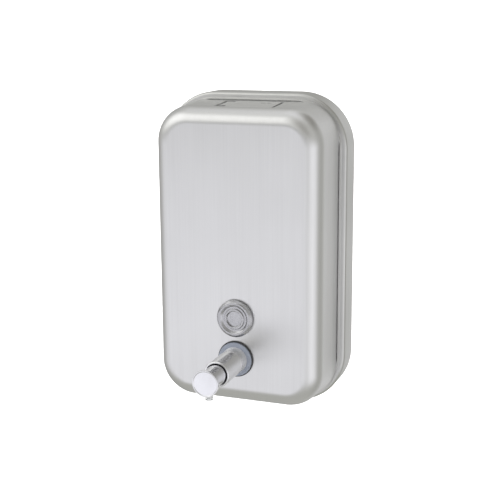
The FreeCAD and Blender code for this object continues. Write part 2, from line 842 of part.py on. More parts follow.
def make_valve_cylinder():
    """The pump chamber on the end of the shank, with the inlet ball's chamber in its nose."""
    collar_outside = "shank_size / 2 + cylinder_wall"
    outside = "cylinder_bore / 2 + cylinder_wall"
    shoulder = "-(shank_depth + cylinder_wall)"
    profile = [
        ("cylinder_bore / 2", "-shank_depth"),
        ("shank_size / 2", "-shank_depth"),
        ("shank_size / 2", "-(shank_depth - cylinder_collar)"),
        (collar_outside, "-(shank_depth - cylinder_collar)"),
        (collar_outside, shoulder),
        (outside, shoulder),
        (outside, f"-{CHAMBER_TOP}"),
        ("nose_size / 2", f"-{CHAMBER_TOP}"),
        ("nose_size / 2", f"-{CHAMBER_END}"),
        ("nose_chamber / 2", f"-{CHAMBER_END}"),
        ("nose_chamber / 2", f"-{CHAMBER_TOP}"),
        ("inlet_hole / 2", f"-{CHAMBER_TOP}"),
        ("inlet_hole / 2", "-cylinder_floor_depth"),
        ("cylinder_bore / 2", "-cylinder_floor_depth"),
    ]
    return front_turned("valve_cylinder", profile, "valve_drop")


def make_inlet_cap():
    """The cap on the cylinder's nose, whose hole is the inlet ball's seat."""
    outside = "nose_size / 2 + cap_cup_wall"
    profile = [
        ("inlet_hole / 2", f"-({CHAMBER_END} + cap_cup_floor)"),
        (outside, f"-({CHAMBER_END} + cap_cup_floor)"),
        (outside, f"-({CHAMBER_END} - cap_cup_depth)"),
        ("nose_size / 2", f"-({CHAMBER_END} - cap_cup_depth)"),
        ("nose_size / 2", f"-{CHAMBER_END}"),
        ("inlet_hole / 2", f"-{CHAMBER_END}"),
    ]
    return front_turned("inlet_cap", profile, "valve_drop")


def make_ball(label, diameter, hole, seat_depth):
    """A check ball resting on the edge of a round hole at this depth behind the panel."""
    ball = doc.addObject("Part::Sphere", label)
    ball.setExpression("Radius", bound(f"{diameter} / 2"))
    above_seat = f"sqrt(({diameter} / 2)^2 - ({hole} / 2)^2) + ball_gap"
    place(ball, ("0", f"-({FRONT_FACE} - {seat_depth} + {above_seat})", "-valve_drop"))
    doc.recompute()
    return ball


def make_plunger_sleeve():
    """The chrome neck behind the button, a tube that slides in the barrel."""
    body = ring(
        "plunger_sleeve",
        NECK_INSIDE,
        NECK_RADIUS,
        f"{BUTTON_BACK} - neck_length",
        BUTTON_BACK,
        "valve_drop",
    )
    nozzle_way = sketch_on(body, "XZ_Plane")
    circle(nozzle_way, "0", NOZZLE_PLACE, "nozzle_size / 2")
    pocket(body, nozzle_way, "neck_size", forward=True)
    return body


def make_plunger_stem():
    """The hollow stem that carries soap from the piston to the nozzle."""
    top = "button_face - stem_top_inset"
    body = ring("plunger_stem", "stem_bore / 2", "stem_size / 2", "-stem_depth", top, "valve_drop")
    outlet = sketch_on(body, "XZ_Plane")
    circle(outlet, "0", NOZZLE_PLACE, "nozzle_bore / 2")
    pocket(body, outlet, "stem_size", forward=True)
    return body


def make_piston():
    """The piston on the end of the stem, with a seal groove and the outlet ball's chamber."""
    groove_low = "-(stem_depth + seal_width)"
    profile = [
        ("outlet_seat / 2", f"-{PISTON_END}"),
        ("piston_size / 2", f"-{PISTON_END}"),
        ("piston_size / 2", groove_low),
        ("seal_groove / 2", groove_low),
        ("seal_groove / 2", "-stem_depth"),
        ("piston_size / 2", "-stem_depth"),
        ("piston_size / 2", "-piston_depth"),
        ("stem_size / 2", "-piston_depth"),
        ("stem_size / 2", "-stem_depth"),
        ("outlet_chamber / 2", "-stem_depth"),
        ("outlet_chamber / 2", "-outlet_chamber_depth"),
        ("outlet_seat / 2", "-outlet_chamber_depth"),
    ]
    return front_turned("piston", profile, "valve_drop")


def make_push_button():
    """The dished button with a boss that holds the neck, the stem and the nozzle."""
    stem = "stem_size / 2"
    stem_top = "button_face - stem_top_inset"
    profile = [
        ("0", "button_face - button_dish"),
        ("button_size / 2 - button_edge_round", "button_face"),
        ("button_size / 2", "button_face - button_edge_round"),
        ("button_size / 2", BUTTON_BACK),
        (NECK_INSIDE, BUTTON_BACK),
        (NECK_INSIDE, BOSS_END),
        (stem, BOSS_END),
        (stem, stem_top),
        ("0", stem_top),
    ]
    body = front_turned("push_button", profile, "valve_drop")
    nozzle_way = sketch_on(body, "XZ_Plane", stem)
    circle(nozzle_way, "0", NOZZLE_PLACE, "nozzle_size / 2")
    pocket(body, nozzle_way, "neck_size / 2 - stem_size / 2", forward=True)
    return body


def make_outlet_nozzle():
    """The short spout below the neck."""
    body = new_body("outlet_nozzle", on_front("valve_drop"), (1, 0, 0), "90")
    tube = sketch_on(body, "XZ_Plane", "stem_size / 2")
    circle(tube, "0", NOZZLE_PLACE, "nozzle_size / 2")
    circle(tube, "0", NOZZLE_PLACE, "nozzle_bore / 2")
    pad(body, tube, "nozzle_drop - stem_size / 2")
    socket = sketch_on(body, "XZ_Plane", "nozzle_drop")
    circle(socket, "0", NOZZLE_PLACE, "tip_spigot / 2")
    pocket(body, socket, "tip_socket")
    return body


def make_nozzle_tip():
    """The soft tip plugged into the spout."""
    body = new_body("nozzle_tip", on_front("valve_drop"), (1, 0, 0), "90")
    spigot = sketch_on(body, "XZ_Plane", "nozzle_drop - tip_socket")
    circle(spigot, "0", NOZZLE_PLACE, "tip_spigot / 2")
    circle(spigot, "0", NOZZLE_PLACE, "tip_bore / 2")
    pad(body, spigot, "tip_socket")
    head = sketch_on(body, "XZ_Plane", "nozzle_drop")
    circle(head, "0", NOZZLE_PLACE, "nozzle_size / 2")
    circle(head, "0", NOZZLE_PLACE, "tip_bore / 2")
    pad(body, head, "tip_drop - nozzle_drop")
    return body


def make_return_spring():
    """The coil spring between the barrel's floor and the button's boss."""
    start = "barrel_floor + spring_wire / 2 + ball_gap"
    height = f"({BOSS_END} - barrel_floor - spring_wire - 2 * ball_gap)"
    body = new_body("return_spring", on_front("valve_drop"), (1, 0, 0), "90")
    wire = sketch_on(body, "XZ_Plane")
    circle(wire, "(spring_size - spring_wire) / 2", start, "spring_wire / 2")
    coil = body.newObject("PartDesign::AdditiveHelix", "return_spring_coil")
    coil.Profile = wire
    coil.ReferenceAxis = (wire, ["V_Axis"])
    coil.Mode = "height-turns-angle"
    coil.setExpression("Height", bound(height))
    coil.setExpression("Turns", bound("spring_turns"))
    coil.Angle = 0.0
    doc.recompute()
    return body


pieces = [
    make_front_shell(),
    make_rear_shell(),
    make_tank_hanger(),
    make_wall_bracket(),
    make_bracket_lock_screw(),
    make_lid_seat_frame(),
    make_filler_lid(),
    make_lid_hinge_pin(),
    make_lid_bolt(),
    make_bolt_guide(),
    make_sight_window(),
    ring(
        "window_gasket",
        "window_stem / 2",
        "window_gasket_size / 2",
        "0",
        "window_gasket_thick",
        "window_drop",
    ),
    make_nut(
        "window_nut",
        "window_nut_flats",
        "window_nut_thick",
        "window_stem / 2",
        "sheet",
        "window_drop",
    ),
    ring(
        "valve_gasket",
        "shank_size / 2",
        "valve_gasket_size / 2",
        "0",
        "valve_gasket_thick",
        "valve_drop",
    ),
    ring(
        "valve_washer",
        "shank_size / 2",
        "washer_size / 2",
        "valve_gasket_thick",
        VALVE_SEAT,
        "valve_drop",
    ),
    make_valve_barrel(),
    ring(
        "valve_inner_gasket",
        "shank_size / 2",
        "inner_gasket_size / 2",
        "-(sheet + inner_gasket_thick)",
        "-sheet",
        "valve_drop",
    ),
    make_nut(
        "valve_nut",
        "valve_nut_flats",
        "valve_nut_thick",
        "shank_size / 2",
        "(sheet + inner_gasket_thick)",
        "valve_drop",
    ),
    make_valve_cylinder(),
    make_inlet_cap(),
    make_ball("inlet_ball", "inlet_ball_size", "inlet_hole", CHAMBER_END),
    make_plunger_sleeve(),
    make_plunger_stem(),
    make_piston(),
    ring(
        "piston_seal",
        "seal_groove / 2",
        "cylinder_bore / 2 - running_gap",
        "-(stem_depth + seal_width)",
        "-stem_depth",
        "valve_drop",
    ),
    make_ball("outlet_ball", "outlet_ball_size", "outlet_seat", "outlet_chamber_depth"),
    make_push_button(),
    make_outlet_nozzle(),
    make_nozzle_tip(),
    make_return_spring(),
]
doc.recompute()

for item in doc.Objects:
    if "Invalid" in item.State or "Error" in item.State:
        raise RuntimeError(f"{item.Label} did not build: {item.State}")

for piece in pieces:
    shape = piece.Shape
    if shape.isNull() or not shape.isValid() or len(shape.Solids) != 1:
        raise RuntimeError(f"{piece.Label} is not one valid solid")
    shape.exportStep(f"parts/{piece.Label}.step")
    print(f"{piece.Label:20} {shape.Volume:10.1f} mm3")
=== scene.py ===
import json
import math

import bmesh
import bpy
from mathutils import Matrix, Vector


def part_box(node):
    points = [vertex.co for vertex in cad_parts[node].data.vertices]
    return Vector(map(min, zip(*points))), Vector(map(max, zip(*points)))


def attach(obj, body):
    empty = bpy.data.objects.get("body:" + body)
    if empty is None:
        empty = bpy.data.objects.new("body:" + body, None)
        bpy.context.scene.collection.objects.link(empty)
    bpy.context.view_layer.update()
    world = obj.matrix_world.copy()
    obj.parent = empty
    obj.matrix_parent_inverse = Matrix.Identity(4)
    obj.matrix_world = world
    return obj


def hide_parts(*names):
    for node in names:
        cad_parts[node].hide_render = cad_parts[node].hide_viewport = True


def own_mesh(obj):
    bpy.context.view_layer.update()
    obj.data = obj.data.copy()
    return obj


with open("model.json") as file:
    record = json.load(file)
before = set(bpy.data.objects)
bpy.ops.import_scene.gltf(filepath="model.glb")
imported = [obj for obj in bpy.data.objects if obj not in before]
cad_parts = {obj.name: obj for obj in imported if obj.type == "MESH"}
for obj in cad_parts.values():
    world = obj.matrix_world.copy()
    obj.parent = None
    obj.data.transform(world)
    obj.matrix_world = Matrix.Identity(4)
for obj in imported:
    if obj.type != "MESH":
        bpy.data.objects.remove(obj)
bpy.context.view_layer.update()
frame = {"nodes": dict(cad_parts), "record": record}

# Wall mounted soap dispenser, in metres. +X is to the right, +Y points into the wall, +Z is up.
MM = 0.001
RECORD = frame["record"]

# ---------------------------------------------------------------- sizes from the frame
shell_low, shell_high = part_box("front_shell")
tray_low, tray_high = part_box("rear_shell")
FRONT = shell_low.y
SEAM = shell_high.y
WALL = tray_high.y
SHELL_HALF_WIDTH = shell_high.x
SHELL_HALF_HEIGHT = shell_high.z
TRAY_HALF_WIDTH = tray_high.x
TRAY_HALF_HEIGHT = tray_high.z
LEDGE = TRAY_HALF_WIDTH - SHELL_HALF_WIDTH
SHEET = 0.8 * MM
SHELL_DEPTH = SEAM - FRONT
SLOPE = 2.4 * MM / SHELL_DEPTH
TILT = math.atan(SLOPE)
SHELL_CORNER = 23.2 * MM
SHELL_ROUND = 10.9 * MM
TRAY_CORNER = 35.0 * MM
TRAY_ROUND = 2.8 * MM
SEAM_GAP = 0.3 * MM
LIP_WIDTH = 0.8 * MM
LIP_HEIGHT = SEAM - tray_low.y


def middle(node):
    """The middle of a CAD node's box."""
    low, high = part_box(node)
    return (low + high) / 2


# ---------------------------------------------------------------- shaders
def join(links, socket, value):
    """Give a socket a constant or another node's output."""
    if isinstance(value, bpy.types.NodeSocket):
        links.new(value, socket)
    else:
        socket.default_value = value


def calculate(tree, kind, operation, first, second):
    """A maths or vector maths node's output."""
    node = tree.nodes.new(kind)
    node.operation = operation
    join(tree.links, node.inputs[0], first)
    join(tree.links, node.inputs[1], second)
    return node.outputs[0]


class Shader:
    """A material and short ways to add and join its nodes."""

    def __init__(self, name):
        self.material = bpy.data.materials.new(name)
        self.material.use_nodes = True
        self.nodes = self.material.node_tree.nodes
        self.links = self.material.node_tree.links
        self.surface = self.nodes["Principled BSDF"]
        self.place = self.nodes.new("ShaderNodeTexCoord").outputs["Object"]

    def set(self, **values):
        for key, value in values.items():
            self.surface.inputs[key.replace("_", " ")].default_value = value
        return self

    def feed(self, key, value):
        self.links.new(value, self.surface.inputs[key])
        return self

    def noise(self, scale, stretch=(1, 1, 1), detail=3.0, shift=0.0):
        """Noise over the piece, drawn out along an axis where its stretch is small."""
        mapping = self.nodes.new("ShaderNodeMapping")
        mapping.inputs["Scale"].default_value = stretch
        mapping.inputs["Location"].default_value = (shift, 1.7 * shift, 0.6 * shift)
        self.links.new(self.place, mapping.inputs["Vector"])
        texture = self.nodes.new("ShaderNodeTexNoise")
        texture.inputs["Scale"].default_value = scale
        texture.inputs["Detail"].default_value = detail
        self.links.new(mapping.outputs["Vector"], texture.inputs["Vector"])
        return texture.outputs["Fac"]

    def spread(self, value, low, high, start=0.3, end=0.7):
        """A value from start to end, mapped to low to high."""
        node = self.nodes.new("ShaderNodeMapRange")
        node.inputs["From Min"].default_value = start
        node.inputs["From Max"].default_value = end
        node.inputs["To Min"].default_value = low
        node.inputs["To Max"].default_value = high
        self.links.new(value, node.inputs["Value"])
        return node.outputs["Result"]

    def math(self, operation, first, second=0.0):
        return calculate(self.material.node_tree, "ShaderNodeMath", operation, first, second)

    def vector(self, operation, first, second):
        return calculate(self.material.node_tree, "ShaderNodeVectorMath", operation, first, second)

    def blend(self, *parts):
        """The weighted sum of (weight, value) pairs."""
        total = 0.0
        for weight, value in parts:
            total = self.math("ADD", total, self.math("MULTIPLY", value, weight))
        return total

    def mix(self, factor, first, second):
        """A colour between two colours."""
        node = self.nodes.new("ShaderNodeMix")
        node.data_type = "RGBA"
        join(self.links, node.inputs["Factor"], factor)
        node.inputs[6].default_value = (*first, 1.0)
        node.inputs[7].default_value = (*second, 1.0)
        return node.outputs[2]

    def bump(self, height, strength, distance):
        node = self.nodes.new("ShaderNodeBump")
        node.inputs["Strength"].default_value = strength
        node.inputs["Distance"].default_value = distance
        self.links.new(height, node.inputs["Height"])
        return node.outputs["Normal"]

    def across(self, lines):
        """The direction in the surface at right angles to straight brush lines along this vector."""
        normal = self.nodes.new("ShaderNodeNewGeometry").outputs["Normal"]
        return self.vector("CROSS_PRODUCT", lines, normal)

    def outwards(self, half_width, half_height):
        """The direction away from the middle of a rounded rectangle, at right angles to its outline."""
        size = self.vector("ABSOLUTE", self.place, (0, 0, 0))
        past = self.vector("SUBTRACT", size, (half_width, 10.0, half_height))
        past = self.vector("MAXIMUM", past, (1e-5, 0.0, 1e-5))
        return self.vector("MULTIPLY", past, self.vector("SIGN", self.place, (0, 0, 0)))


def darker(colour, share):
    return tuple(share * part for part in colour)


def brushed_steel(name, colour, grain, lines=(0, 0, 1), anisotropy=0.5, contrast=0.06, ring=None):
    """Stainless sheet with hairlines: grain is the noise's stretch, small along the lines."""
    roughness = 0.35
    shader = Shader(name).set(Metallic=1.0, Anisotropic=anisotropy)
    fine = shader.noise(3200.0, grain, detail=2.0)
    medium = shader.noise(900.0, grain, detail=3.0, shift=3.1)
    clouds = shader.noise(16.0, detail=4.0, shift=1.3)
    tone = shader.blend((0.40, fine), (0.30, medium), (0.30, clouds))
    shade = shader.spread(tone, 0.0, 1.0, 0.35, 0.65)
    dark, light = darker(colour, 1.0 - contrast), darker(colour, 1.0 + contrast)
    shader.feed("Base Color", shader.mix(shade, dark, light))
    shader.feed("Roughness", shader.spread(tone, roughness + 0.04, roughness - 0.04, 0.35, 0.65))
    height = shader.blend((0.6, fine), (0.4, medium))
    shader.feed("Normal", shader.bump(height, 0.12, 0.01 * MM))
    shader.feed("Tangent", shader.outwards(*ring) if ring else shader.across(lines))
    return shader.material


def polished(name, colour, roughness=0.14, turned=0.0, metal=1.0, dull=0.0):
    """Bright metal with turning marks and smears. It may blur along its axis and be duller near the panel."""
    shader = Shader(name).set(Metallic=metal, Anisotropic=turned)
    if turned:
        shader.feed("Tangent", shader.vector("ADD", (0.0, 1.0, 0.0), (0.0, 0.0, 0.0)))
    turning = shader.noise(1500.0, (1, 0.04, 1), detail=2.0)
    smears = shader.noise(70.0, detail=4.0, shift=2.3)
    tone = shader.blend((0.35, turning), (0.65, smears))
    shade = shader.spread(tone, 0.0, 1.0, 0.35, 0.65)
    shader.feed("Base Color", shader.mix(shade, darker(colour, 0.95), colour))
    worn = shader.spread(tone, 1.25 * roughness, 0.75 * roughness, 0.35, 0.65)
    if dull:
        split = shader.nodes.new("ShaderNodeSeparateXYZ")
        shader.links.new(shader.place, split.inputs[0])
        near_panel = shader.spread(split.outputs["Y"], 0.0, dull, FRONT - 12 * MM, FRONT - 4 * MM)
        worn = shader.math("ADD", worn, near_panel)
    shader.feed("Roughness", worn)
    shader.feed("Normal", shader.bump(turning, 0.06, 0.01 * MM))
    return shader.material


def moulded(name, colour, roughness, contrast=0.06, grain=700.0, bump=0.1, clear=0.0, silver=0.0):
    """Moulded plastic or rubber with a fine skin texture and slight clouding."""
    shader = Shader(name).set(Metallic=silver, IOR=1.48)
    shader.surface.inputs["Transmission Weight"].default_value = clear
    skin = shader.noise(grain, detail=3.0)
    clouds = shader.noise(80.0, detail=3.0, shift=4.2)
    tone = shader.blend((0.35, skin), (0.65, clouds))
    shade = shader.spread(tone, 0.0, 1.0, 0.35, 0.65)
    shader.feed("Base Color", shader.mix(shade, darker(colour, 1.0 - contrast), colour))
    shader.feed("Roughness", shader.spread(tone, 1.2 * roughness, 0.8 * roughness, 0.35, 0.65))
    shader.feed("Normal", shader.bump(skin, bump, 0.02 * MM))
    return shader.material


UPRIGHT = (1.0, 1.0, 0.006)
ALONG_X = (0.006, 1.0, 1.0)
TRAY_CORE = (TRAY_HALF_WIDTH - TRAY_CORNER, TRAY_HALF_HEIGHT - TRAY_CORNER)
materials = {
    "front_steel": brushed_steel("front_steel", (0.700, 0.700, 0.704), UPRIGHT, contrast=0.022),
    "rear_steel": brushed_steel("rear_steel", (0.57, 0.57, 0.56), UPRIGHT, ring=TRAY_CORE, contrast=0.03),
    "lid_steel": brushed_steel("lid_steel", (0.69, 0.69, 0.69), ALONG_X, lines=(1, 0, 0), contrast=0.03),
    # frame_steel is painted dark as painted shade: the frame is stainless like the lid, and its near-black
    # colour stands in for the shadow in the gap round the lid.
    "frame_steel": brushed_steel("frame_steel", (0.30, 0.30, 0.30), ALONG_X, lines=(1, 0, 0)),
    "bracket_steel": brushed_steel("bracket_steel", (0.58, 0.59, 0.60), UPRIGHT, anisotropy=0.4),
    "screw_steel": polished("screw_steel", (0.62, 0.62, 0.63), 0.25),
    "clear_plastic": moulded("clear_plastic", (0.72, 0.72, 0.75), 0.05, bump=0.04, clear=0.88, silver=0.5),
    "clear_silicone": moulded("clear_silicone", (0.55, 0.55, 0.57), 0.45, clear=0.3),
    "black_rubber": moulded("black_rubber", (0.08, 0.08, 0.085), 0.6, contrast=0.3),
    "nut_plastic": moulded("nut_plastic", (0.80, 0.81, 0.82), 0.42),
    "washer_plastic": moulded("washer_plastic", (0.42, 0.46, 0.56), 0.38, contrast=0.1),
    "barrel_chrome": polished("barrel_chrome", (0.82, 0.82, 0.84), 0.15, turned=0.6, metal=0.86, dull=0.5),
    "neck_chrome": polished("neck_chrome", (0.80, 0.80, 0.83), 0.12),
    "button_chrome": polished("button_chrome", (0.78, 0.78, 0.81), 0.20),
    "pump_plastic": moulded("pump_plastic", (0.84, 0.85, 0.86), 0.32),
    "ball_steel": polished("ball_steel", (0.72, 0.72, 0.73)),
    "spout_plastic": moulded("spout_plastic", (0.90, 0.91, 0.93), 0.28),
    "tip_plastic": moulded("tip_plastic", (0.92, 0.93, 0.95), 0.12, clear=0.6),
    "spring_steel": polished("spring_steel", (0.66, 0.66, 0.68), 0.24),
}
slot_of = {row["node"]: row["material_slot"] for row in RECORD["subparts"]}
body_of = {node: body for body, nodes in RECORD["behaviour"]["bodies"].items() for node in nodes}

for node, piece in frame["nodes"].items():
    piece.data.materials.clear()
    piece.data.materials.append(materials[slot_of[node]])


# ---------------------------------------------------------------- mesh helpers
def mesh_from(name, points, faces):
    """A closed mesh with its faces turned outwards."""
    mesh = bpy.data.meshes.new(name)
    mesh.from_pydata([tuple(point) for point in points], [], faces)
    work = bmesh.new()
    work.from_mesh(mesh)
    bmesh.ops.recalc_face_normals(work, faces=work.faces)
    work.to_mesh(mesh)
    work.free()
    return mesh


def soften(mesh, width, angle=50.0, segments=2):
    """Round the edges that turn by more than the angle."""
    work = bmesh.new()
    work.from_mesh(mesh)
    limit = math.radians(angle)
    edges = [edge for edge in work.edges if edge.is_manifold and edge.calc_face_angle() > limit]
    bmesh.ops.bevel(
        work, geom=edges, offset=width, segments=segments, profile=0.5, affect="EDGES", clamp_overlap=True
    )
    work.to_mesh(mesh)
    work.free()
    return mesh


def smooth(mesh, sharp):
    """Smooth shading, apart from edges sharper than this angle in degrees."""
    mesh.polygons.foreach_set("use_smooth", [True] * len(mesh.polygons))
    mesh.set_sharp_from_angle(angle=math.radians(sharp))


def join_solids(piece, operation, tools):
    """Cut closed meshes out of a piece, or weld them to it."""
    for mesh in tools:
        tool = bpy.data.objects.new("tool", mesh)
        bpy.context.scene.collection.objects.link(tool)
        modifier = piece.modifiers.new("solid", "BOOLEAN")
        modifier.operation = operation
        modifier.solver = "EXACT"
        modifier.object = tool
        graph = bpy.context.evaluated_depsgraph_get()
        graph.update()
        result = bpy.data.meshes.new_from_object(piece.evaluated_get(graph))
        piece.modifiers.clear()
        piece.data = result
        bpy.data.objects.remove(tool)


def make_piece(name, mesh, node, cuts=(), welds=(), sharp=35.0, edge=0.0):
    """A piece that stands for its CAD node, with the node's material and body."""
    piece = bpy.data.objects.new(name, mesh)
    bpy.context.scene.collection.objects.link(piece)
    join_solids(piece, "UNION", welds)
    join_solids(piece, "DIFFERENCE", cuts)
    if edge:
        soften(piece.data, edge)
    piece.data.materials.clear()
    piece.data.materials.append(materials[slot_of[node]])
    piece.data.polygons.foreach_set("material_index", [0] * len(piece.data.polygons))
    smooth(piece.data, sharp)
    piece.modifiers.new("flat_faces", "WEIGHTED_NORMAL").keep_sharp = True
    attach(piece, body_of[node])
    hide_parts(node)
    return piece


def round_corners(points, radii, steps=6, closed=False):
    """A 2D profile with each corner replaced by an arc of its radius."""
    count = len(points)
    result = []
    for index, point in enumerate(points):
        corner = Vector(point)
        radius = radii[index] if isinstance(radii, (list, tuple)) else radii
        if radius <= 0 or (not closed and index in (0, count - 1)):
            result.append(tuple(corner))
            continue
        before = Vector(points[index - 1]) - corner
        after = Vector(points[(index + 1) % count]) - corner
        angle = before.angle(after)
        if angle > math.radians(176):
            result.append(tuple(corner))
            continue
        reach = min(radius / math.tan(angle / 2), 0.49 * before.length, 0.49 * after.length)
        radius = reach * math.tan(angle / 2)
        before.normalize()
        after.normalize()
        centre = corner + (before + after).normalized() * (radius / math.sin(angle / 2))
        start = corner + before * reach - centre
        end = corner + after * reach - centre
        turn = math.atan2(start.x * end.y - start.y * end.x, start.dot(end))
        for step in range(steps + 1):
            share = turn * step / steps
            result.append(tuple(centre + Matrix.Rotation(share, 2) @ start))
    return result


def rounded_outline(half_width, half_height, radius, steps=24):
    """2D points round a rounded rectangle."""
    points = []
    for across, up, start in ((1, 1, 0), (-1, 1, 90), (-1, -1, 180), (1, -1, 270)):
        for step in range(steps + 1):
            angle = math.radians(start + 90 * step / steps)
            points.append(
                (
                    across * (half_width - radius) + radius * math.cos(angle),
                    up * (half_height - radius) + radius * math.sin(angle),
                )
            )
    return points


def loft(name, rings):
    """Join rings of equal length, with a flat cap at each end."""
    count = len(rings[0])
    faces = []
    for level in range(len(rings) - 1):
        base = level * count
        for index in range(count):
            following = (index + 1) % count
            faces.append((base + index, base + following, base + count + following, base + count + index))
    faces.append(tuple(range(count)))
    faces.append(tuple(range((len(rings) - 1) * count, len(rings) * count)))
    return mesh_from(name, [point for ring in rings for point in ring], faces)


def sweep(name, outline, start, end, place):
    """Draw a closed 2D outline from start to end along the third direction of place(a, b, along)."""
    rings = [[place(first, second, along) for first, second in outline] for along in (start, end)]
    return loft(name, rings)


def lathe(name, profile, axis, steps=128):
    """Turn a closed profile of (radius, distance out from the front panel) about an axis along Y."""
    points = []
    rows = []
    for radius, out in profile:
        row = []
        for step in range(1 if radius < 1e-7 else steps):
            angle = 2 * math.pi * step / steps
            row.append(len(points))
            points.append((axis.x + radius * math.cos(angle), FRONT - out, axis.z + radius * math.sin(angle)))
        rows.append(row)
    faces = []
    for first, second in zip(rows, rows[1:] + rows[:1]):
        for step in range(steps):
            following = (step + 1) % steps
            if len(first) == 1 and len(second) == 1:
                break
            if len(first) == 1:
                faces.append((first[0], second[following], second[step]))
            elif len(second) == 1:
                faces.append((first[step], first[following], second[0]))
            else:
                faces.append((first[step], first[following], second[following], second[step]))
    return mesh_from(name, points, faces)


def rod(radius, start, end, steps=64):
    """A closed cylinder between two points."""
    start, end = Vector(start), Vector(end)
    turn = (end - start).to_track_quat("Z", "Y").to_matrix()
    circle = [turn @ Vector((radius * math.cos(a), radius * math.sin(a), 0)) for a in circle_angles(steps)]
    return loft("rod", [[start + arm for arm in circle], [end + arm for arm in circle]])


def circle_angles(steps):
    return [2 * math.pi * step / steps for step in range(steps)]


def block(low, high, place=lambda x, y, z: (x, y, z)):
    """A closed box between two corners."""
    outline = [(low[0], low[1]), (high[0], low[1]), (high[0], high[1]), (low[0], high[1])]
    return loft("block", [[place(x, y, z) for x, y in outline] for z in (low[2], high[2])])


# ---------------------------------------------------------------- tank
def shell_rings(inset):
    """Rings of the front shell's skin, inset from its outer face, from the seam to the front."""
    edge = SHELL_ROUND - inset
    depth = SHELL_DEPTH - inset
    centre = depth - edge
    reach = centre * SLOPE + edge / math.cos(TILT)

    def ring(shrink, deep):
        outline = rounded_outline(
            SHELL_HALF_WIDTH - inset - shrink,
            SHELL_HALF_HEIGHT - inset - shrink,
            SHELL_CORNER - inset - (shrink - deep * SLOPE),
        )
        return [(x, SEAM - deep, z) for x, z in outline]

    wall = centre + edge * math.sin(TILT)
    rings = [ring(wall * share * SLOPE, wall * share) for share in (0.0, 0.02, 0.5, 0.98)]
    steps = 28
    for step in range(steps + 1):
        angle = TILT + (math.pi / 2 - TILT) * step / steps
        rings.append(ring(reach - edge * math.cos(angle), centre + edge * math.sin(angle)))
    rings.append(ring(reach + 0.5 * MM, depth))
    return rings


def tray_ring(shrink, y):
    outline = rounded_outline(TRAY_HALF_WIDTH - shrink, TRAY_HALF_HEIGHT - shrink, TRAY_CORNER - shrink)
    return [(x, y, z) for x, z in outline]


window = middle("sight_window")
valve = middle("valve_barrel")
seat_low, seat_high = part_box("lid_seat_frame")
screw = middle("bracket_lock_screw")
through_panel = [
    rod(radius, (axis.x, FRONT - 5 * MM, axis.z), (axis.x, FRONT + 5 * MM, axis.z))
    for radius, axis in ((8.3 * MM, window), (7.1 * MM, valve))
]
filler_opening = block(
    (seat_low.x + SHEET, seat_low.y + SHEET, SHELL_HALF_HEIGHT - 8 * MM),
    (seat_high.x - SHEET, seat_high.y - SHEET, SHELL_HALF_HEIGHT + 5 * MM),
)
make_piece(
    "front_shell_drawn",
    loft("front_shell_drawn", list(reversed(shell_rings(SHEET))) + shell_rings(0.0)),
    "front_shell",
    cuts=through_panel + [filler_opening],
    sharp=28,
)

lip_outer = LEDGE - SEAM_GAP - LIP_WIDTH
lip_inner = LEDGE - SEAM_GAP
tray_profile = [
    (LEDGE, SEAM + SHEET),
    (SHEET, SEAM + SHEET),
    (SHEET, WALL),
    (0.0, WALL),
    (0.0, SEAM),
    (lip_outer, SEAM),
    (lip_outer, SEAM - LIP_HEIGHT),
    (lip_inner, SEAM - LIP_HEIGHT),
    (lip_inner, SEAM),
    (LEDGE + 3 * MM, SEAM),
]
lip_radii = [0.4 * MM, 0.38 * MM, 0.38 * MM, 0.1 * MM]
tray_radii = [0, TRAY_ROUND - SHEET, 0.25 * MM, 0.25 * MM, TRAY_ROUND, *lip_radii, 0]
tray_rings = [tray_ring(shrink, y) for shrink, y in round_corners(tray_profile, tray_radii, steps=8)]
lock_low, lock_high = -TRAY_HALF_HEIGHT - 5 * MM, 5 * MM - TRAY_HALF_HEIGHT
make_piece(
    "rear_shell_pressed",
    loft("rear_shell_pressed", tray_rings),
    "rear_shell",
    cuts=[rod(2.4 * MM, (screw.x, screw.y, lock_low), (screw.x, screw.y, lock_high))],
    sharp=50,
)


# ---------------------------------------------------------------- wall bracket and hanger
PLATE = 1.5 * MM
bracket_low, bracket_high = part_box("wall_bracket")
hanger_low, hanger_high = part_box("tank_hanger")
pattern = next(row for row in RECORD["mounts"] if row["name"] == "wall_screws")["dims"]
tongue_back = bracket_low.y + 3.2 * MM
shelf = bracket_high.z - 12 * MM
plate_end = -38 * MM
tail_half = TRAY_HALF_WIDTH - TRAY_CORNER - 4 * MM


def folded(y, z, along):
    return (along, y, z)


BEND = 1.9 * MM
BEND_IN = 0.4 * MM
upper_outline = round_corners(
    [
        (0.0, plate_end),
        (0.0, shelf),
        (tongue_back, shelf),
        (tongue_back, bracket_high.z),
        (tongue_back - PLATE, bracket_high.z),
        (tongue_back - PLATE, shelf - PLATE),
        (-PLATE, shelf - PLATE),
        (-PLATE, plate_end),
    ],
    [0, BEND, BEND_IN, 0.3 * MM, 0.3 * MM, BEND, BEND_IN, 0],
    closed=True,
)
tail_outline = round_corners(
    [
        (0.0, plate_end + 2 * MM),
        (0.0, bracket_low.z),
        (bracket_low.y, bracket_low.z),
        (bracket_low.y, bracket_low.z + PLATE),
        (-PLATE, bracket_low.z + PLATE),
        (-PLATE, plate_end + 2 * MM),
    ],
    [0, BEND, 0.3 * MM, 0.3 * MM, BEND_IN, 0],
    closed=True,
)
screw_across, screw_up = pattern["spacing_x_mm"] / 2 * MM, pattern["spacing_y_mm"] / 2 * MM
screw_ways = [
    rod(pattern["hole_r_mm"] * MM, (x, 3 * MM, z), (x, -6 * MM, z), steps=48)
    for x in (-screw_across, screw_across)
    for z in (-screw_up, screw_up)
]
foot_low, foot_high = bracket_low.z - MM, bracket_low.z + 3 * MM
tapped_way = rod(2.0 * MM, (screw.x, screw.y, foot_low), (screw.x, screw.y, foot_high), steps=48)
